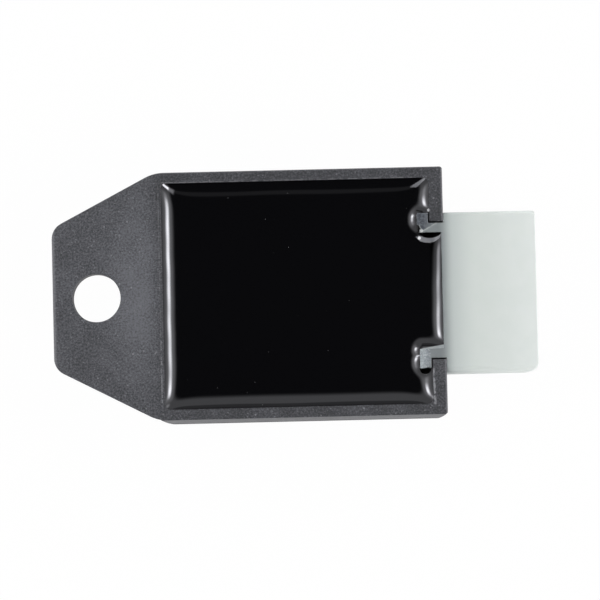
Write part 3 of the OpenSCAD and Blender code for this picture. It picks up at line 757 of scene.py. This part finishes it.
def resin_finish():
    resin = Finish("black_resin", {"IOR": 1.7, "Specular Tint": (0.94, 0.945, 1.0, 1)})
    x, y = resin.axes(resin.place)[:2]
    dust = resin.dots(0.9, 0.07) * resin.chance(0.9).rise(0.9, 0.93)
    pocket = within(resin, UPPER_POCKET)
    painted_streak = painted_corner_streak(x, y)
    pale = hook_skin(x, y)
    # Masks for the painted sheen round the pocket, the painted reflection in the corner and the pale hook
    # skin
    skin = painted_lip_sheen(resin, x, y, pocket).most(painted_streak).most(pale)
    # Painted shade in the air pockets and along the shadow line
    pit_shade = pocket.rise(1.04, 0.96).most(within(resin, LOWER_POCKET).rise(1.12, 0.98))
    pit_shade = pit_shade.most(painted_shadow_line(x, y) * 0.85)
    # Painted glints on the grey sheen and on the end wall's edge
    glint = spot(x, y, LIP_GLINT, 0.3).most(spot(x, y, EDGE_GLINT, EDGE_GLINT_RADIUS))
    lip_sheen_tone = resin.blend(resin.noise(1.1), shade(122, 123, 128), shade(144, 145, 150))
    along_streak = x.rise(CORNER_STREAK[0].x, CORNER_STREAK[1].x)
    streak_tone = resin.blend(along_streak, shade(116, 117, 122), shade(152, 153, 158))
    pale_tone = resin.blend(resin.noise(3.0), shade(138, 144, 147), shade(182, 188, 190))
    skin_and_sheen_tone = resin.blend(pale, resin.blend(painted_streak, lip_sheen_tone, streak_tone), pale_tone)
    colour = resin.blend(dust * 0.5, shade(8, 8, 10), shade(110, 110, 112))
    colour = resin.blend(skin * 0.9, colour, skin_and_sheen_tone)
    colour = resin.blend(pit_shade, colour, shade(4, 4, 4))
    resin.set("Base Color", resin.blend(glint, colour, shade(244, 244, 247)))
    # Dark metal as painted shade in the pits, and a weaker share that dims the bay's bright line
    resin.set("Metallic", pit_shade.most(bay_reflection_dimming(x, y)))
    resin.set("Roughness", 0.05 + resin.noise(0.4) * 0.03 + dust * 0.4 + skin * 0.3 + pit_shade * 0.3)
    return resin.material


finish_piece("resin_fill", resin_bm, resin_finish(), "potting_compound", weighted=False)

# %% [markdown]
# The plug socket is natural nylon: milky, slightly green, a little glossy. Light soaks into it, so it looks
# darker where the thick floor and the case stand behind it, and paler towards the open mouth: that shade is
# painted. The hooks behind the wall carry a film of resin, thick and dark on the upper hook, where it ends in
# a raised thread with a painted highlight, and thin and mottled on the lower one, whose end is painted black
# as shade of the air pocket below it. A gradient along the socket gives the first, and masks from the
# distance to slanting lines give the second.

# %% Plug socket
SOCKET_EDGE = 0.12 * MM
FILM_THREAD = (Vector((48.6, 8.72)) * MM, Vector((51.05, 10.1)) * MM)
SMEAR = (Vector((48.33, 9.9)) * MM, Vector((48.93, 8.69)) * MM)
HOOK_BLOB = (48.71, 8.91)
SOAKED_SLANT = 0.27
neck_x = case_high.x


def nylon_with_painted_shade(nylon, x):
    """The nylon's colour with painted shade: dark by the case, pale at the mouth, and faintly clouded."""
    cloud = nylon.noise(0.35, detail=3.0)
    # Painted shade: darker by the case
    case_shade = x.rise(neck_x - 0.9 * MM, neck_x + 1.5 * MM)
    colour = nylon.blend(case_shade, shade(121, 126, 129), shade(188, 195, 194))
    colour = nylon.blend(x.rise(neck_x, neck_x + 5 * MM), colour, shade(213, 219, 216))
    colour = nylon.blend(x.rise(neck_x + 4 * MM, neck_x + 15 * MM), colour, shade(227, 232, 230))
    return nylon.blend(cloud.rise(0.35, 0.65) * 0.08, colour, shade(187, 202, 194))


def mottled_film(nylon, x):
    """The thin film on the lower hook, paler at the hook's tip."""
    mottle = nylon.noise(4.5, detail=3.0, roughness=0.7)
    tone = nylon.blend(x.rise(HOOK_X, HOOK_X + 1.7 * MM), shade(169, 176, 181), shade(130, 136, 142))
    tone = nylon.blend(mottle.rise(0.50, 0.36) * 0.45, tone, shade(92, 97, 103))
    return nylon.blend(mottle.rise(0.52, 0.64) * 0.5, tone, shade(216, 221, 224))


def nylon_finish():
    nylon = Finish("milky_nylon", {
        "Subsurface Weight": 0.15, "Subsurface Scale": 0.8 * MM, "Subsurface Radius": (1.0, 1.0, 0.9),
    })
    x, y = nylon.axes(nylon.place)[:2]
    fleck = nylon.noise(2.4, detail=3.0, roughness=0.7)
    on_upper = y.rise(0, 1 * MM) * x.rise(neck_x - 0.6 * MM, neck_x - 1.2 * MM)
    on_lower = y.rise(0, -1 * MM) * x.rise(neck_x - 2.0 * MM, neck_x - 2.9 * MM)

    past_thread = beside(x, y, *FILM_THREAD)
    thread_start = FILM_THREAD[0].x
    thinner = 1 - 0.5 * x.rise(neck_x - 3.0 * MM, neck_x - 1.8 * MM)
    film = past_thread.rise(0.02 * MM, 0.14 * MM) * on_upper * thinner
    # A painted highlight along the raised end of the film
    painted_streak = abs(past_thread).rise(0.14 * MM, 0.03 * MM) * on_upper
    painted_streak = painted_streak * x.rise(thread_start, thread_start + 0.1 * MM) * fleck.rise(0.3, 0.5)

    past_smear = beside(x, y, *SMEAR)
    smear_start = SMEAR[0].y
    on_smear = y.rise(smear_start, smear_start - 0.1 * MM) * on_upper
    smear = past_smear.rise(0, -0.06 * MM) * on_smear
    smear_edge = abs(past_smear).rise(0.12 * MM, 0.03 * MM) * on_smear
    # Painted shade: the lower hook's end is painted black, continuing the dark air pocket below it
    pocket_shade_on_hook = (y - (x - HOOK_X) * SOAKED_SLANT).rise(-11.72 * MM, -11.82 * MM) * on_lower
    blob = spot(x, y, HOOK_BLOB, 0.34)
    edges = painted_streak.most(smear_edge * 0.6).most(blob)

    film_tone = nylon.blend(fleck.rise(0.35, 0.65), shade(70, 74, 81), shade(103, 107, 114))
    edge_tone = nylon.blend(blob, shade(158, 162, 163), shade(206, 209, 209))
    colour = nylon.blend(film * 0.95, nylon_with_painted_shade(nylon, x), film_tone)
    colour = nylon.blend(on_lower * (0.5 + fleck * 0.8).least(1.0), colour, mottled_film(nylon, x))
    colour = nylon.blend(smear.most(pocket_shade_on_hook), colour, shade(8, 8, 9))
    nylon.set("Base Color", nylon.blend(edges * 0.85, colour, edge_tone))
    nylon.set("Roughness", 0.42 - film * 0.15 - edges * 0.15)
    nylon.bump(nylon.noise(1.4, detail=2.0) * 0.04 + film * fleck * 0.5 + edges, 0.08, 0.5)
    return nylon.material


shell_bm = whole_faces("connector_shell")
round_edges(shell_bm, sharp_edges(shell_bm), SOCKET_EDGE)
finish_piece("plug_socket", shell_bm, nylon_finish(), "connector_shell")

# %% [markdown]
# The four blades are stamped from brass strip and tinned. Rolling leaves faint lines along the strip, so the
# noise that roughens the tin is stretched along X.

# %% Blades
BLADE_EDGE = 0.08 * MM
ROLLED_ALONG_X = (0.15, 3.0, 3.0)


def tin_finish():
    tin = Finish("tinned_brass", {"Metallic": 1.0})
    lines = tin.noise(1.0, detail=3.0, place=tin.vector("MULTIPLY", tin.place, ROLLED_ALONG_X))
    cloud = tin.noise(0.5, detail=2.0)
    tin.set("Base Color", tin.blend(cloud.rise(0.35, 0.7), shade(206, 203, 194), shade(186, 178, 158)))
    tin.set("Roughness", 0.24 + lines * 0.22)
    tin.bump(lines, 0.006, 0.4)
    return tin.material


blade_tin = tin_finish()
for duty in ("battery", "lighting", "stator", "ground"):
    blade_bm = whole_faces(duty + "_terminal")
    round_edges(blade_bm, sharp_edges(blade_bm), BLADE_EDGE)
    finish_piece(duty + "_blade", blade_bm, blade_tin, duty + "_terminal")

# %% [markdown]
# Under the resin lie the parts that do the work. Nobody sees them in the finished regulator, but the model
# may be cut open or taken apart, so each solid keeps its shape and gets a finish of its own: painted bodies
# with tinned leads, whose bare ends are found from the distance to the body's middle.

# %% Parts on the board
DIODE_LENGTH = 5.2
RESISTOR_LENGTH = 6.3
CAPACITOR_LENGTH = 7.0
THYRISTOR_BODY = (6.5, 15.5)
RING_EDGES = (0.36 * MM, 0.30 * MM)
PAINT_END = 0.02
CATHODE_RING = [(1.7, shade(196, 198, 200))]
VALUE_RINGS = [(-2.3, shade(112, 66, 38)), (-1.1, shade(24, 24, 26)), (0.1, shade(168, 40, 34)),
               (2.3, shade(176, 142, 66))]


def paint(node, finish):
    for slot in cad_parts[node].material_slots:
        slot.material = finish.material


def tinned(finish, bare, colour, roughness):
    """Lets a body's paint give way to tinned wire where the mask says so."""
    wire = finish.blend(finish.noise(2.0), shade(176, 176, 172), shade(206, 205, 200))
    finish.set("Base Color", finish.blend(bare, colour, wire))
    finish.set("Metallic", bare)
    finish.set("Roughness", roughness + finish.noise(1.5, detail=3.0) * 0.15 - bare * 0.15)


def axial_finish(node, body_length, dark, light, rings):
    """A body along Y with a lead at each end, and rings of colour at given places along it."""
    part = Finish(node + "_finish")
    low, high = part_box(node)
    along = part.axes(part.place)[1] - (low.y + high.y) / 2
    colour = part.blend(part.noise(0.9, detail=3.0).rise(0.3, 0.7), dark, light)
    for place, ring in rings:
        colour = part.blend(abs(along - place * MM).rise(*RING_EDGES), colour, ring)
    half = body_length / 2
    bare = abs(along).rise((half - PAINT_END) * MM, (half + PAINT_END) * MM)
    tinned(part, bare, colour, 0.38)
    part.bump(part.noise(3.0, detail=2.0), 0.01, 0.3)
    return part


def capacitor_finish(node):
    """A shrink sleeve with one pale stripe, a bare end to the can, and two leads at the -Y end."""
    can = Finish(node + "_finish")
    x, y, z = can.axes(can.place)
    low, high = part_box(node)
    from_end = high.y - y
    stripe = abs(x - (low.x + high.x) / 2).rise(0.7 * MM, 0.6 * MM)
    stripe = stripe * z.rise(high.z - 1.2 * MM, high.z - 1.0 * MM)
    colour = can.blend(can.noise(0.8).rise(0.3, 0.7), shade(34, 46, 78), shade(48, 62, 98))
    colour = can.blend(stripe, colour, shade(188, 194, 204))
    leads = from_end.rise((CAPACITOR_LENGTH - PAINT_END) * MM, (CAPACITOR_LENGTH + PAINT_END) * MM)
    tinned(can, leads.most(from_end.rise(0.1 * MM, 0.05 * MM)), colour, 0.3)
    return can


def thyristor_finish(node):
    """Black moulded epoxy between a tinned tab and tinned leads."""
    case = Finish(node + "_finish")
    x = case.axes(case.place)[0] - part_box(node)[0].x
    body_start, body_end = THYRISTOR_BODY
    tab = x.rise((body_start + PAINT_END) * MM, (body_start - PAINT_END) * MM)
    leads = x.rise((body_end - PAINT_END) * MM, (body_end + PAINT_END) * MM)
    colour = case.blend(case.noise(1.2, detail=3.0).rise(0.3, 0.7), shade(32, 32, 34), shade(46, 46, 48))
    tinned(case, tab.most(leads), colour, 0.5)
    case.bump(case.noise(6.0, detail=2.0), 0.01, 0.4)
    return case


for duty in ("battery_zener", "lighting_zener", "charging_gate", "lighting_gate"):
    diode = duty + "_diode"
    paint(diode, axial_finish(diode, DIODE_LENGTH, shade(30, 31, 34), shade(44, 45, 48), CATHODE_RING))
for duty in ("battery_sense", "lighting_sense", "charging_gate", "lighting_gate"):
    resistor = duty + "_resistor"
    paint(resistor, axial_finish(resistor, RESISTOR_LENGTH, shade(196, 172, 128), shade(212, 190, 148),
                                 VALUE_RINGS))
paint("smoothing_capacitor", capacitor_finish("smoothing_capacitor"))
for duty in ("charging", "lighting"):
    paint(duty + "_thyristor", thyristor_finish(duty + "_thyristor"))
print("painted", len(VALUE_RINGS), "rings on each resistor")

# %% [markdown]
# The board is woven glass in green lacquer: two sets of fine waves at right angles give the weave. The pads
# are grey silicone with the print of a mesh, the bushes ivory plastic, and the screws zinc-plated steel with
# a faint yellow cast.

# %% Board, pads, bushes and screws
def weave(finish, per_mm):
    """Crossed ribs, as on woven glass."""
    waves = [finish.node("ShaderNodeTexWave", {"bands_direction": axis}, {
        "Vector": finish.place, "Scale": per_mm / MM, "Distortion": 0.4,
    }, out="Fac") for axis in ("X", "Y")]
    return waves[0].most(waves[1])


def woven_finish(name, per_mm, dark, light, roughness, depth_mm):
    cloth = Finish(name)
    ribs = weave(cloth, per_mm)
    tone = ribs * 0.5 + cloth.noise(0.4, detail=3.0) * 0.5
    cloth.set("Base Color", cloth.blend(tone.rise(0.2, 0.8), dark, light))
    cloth.set("Roughness", roughness + ribs * 0.12)
    cloth.bump(ribs, depth_mm, 0.5)
    return cloth


def plain_finish(name, per_mm, dark, light, roughness, metallic):
    skin = Finish(name, {"Metallic": metallic})
    grain = skin.noise(per_mm, detail=4.0, roughness=0.6)
    skin.set("Base Color", skin.blend(grain.rise(0.3, 0.7), dark, light))
    skin.set("Roughness", roughness + grain * 0.2)
    skin.bump(grain, 0.01, 0.4)
    return skin


lacquer = woven_finish("green_laminate", 0.5, shade(44, 84, 54), shade(66, 114, 76), 0.32, 0.01)
silicone = woven_finish("grey_silicone", 0.8, shade(140, 144, 146), shade(164, 168, 170), 0.62, 0.02)
ivory = plain_finish("ivory_plastic", 1.2, shade(216, 210, 194), shade(232, 227, 214), 0.36, 0.0)
zinc = plain_finish("zinc_plate", 2.5, shade(172, 173, 170), shade(204, 204, 196), 0.26, 1.0)
paint("circuit_board", lacquer)
for duty in ("charging", "lighting"):
    paint(duty + "_insulating_pad", silicone)
    paint(duty + "_screw_bush", ivory)
    paint(duty + "_thyristor_screw", zinc)
print("board, pads, bushes and screws painted")
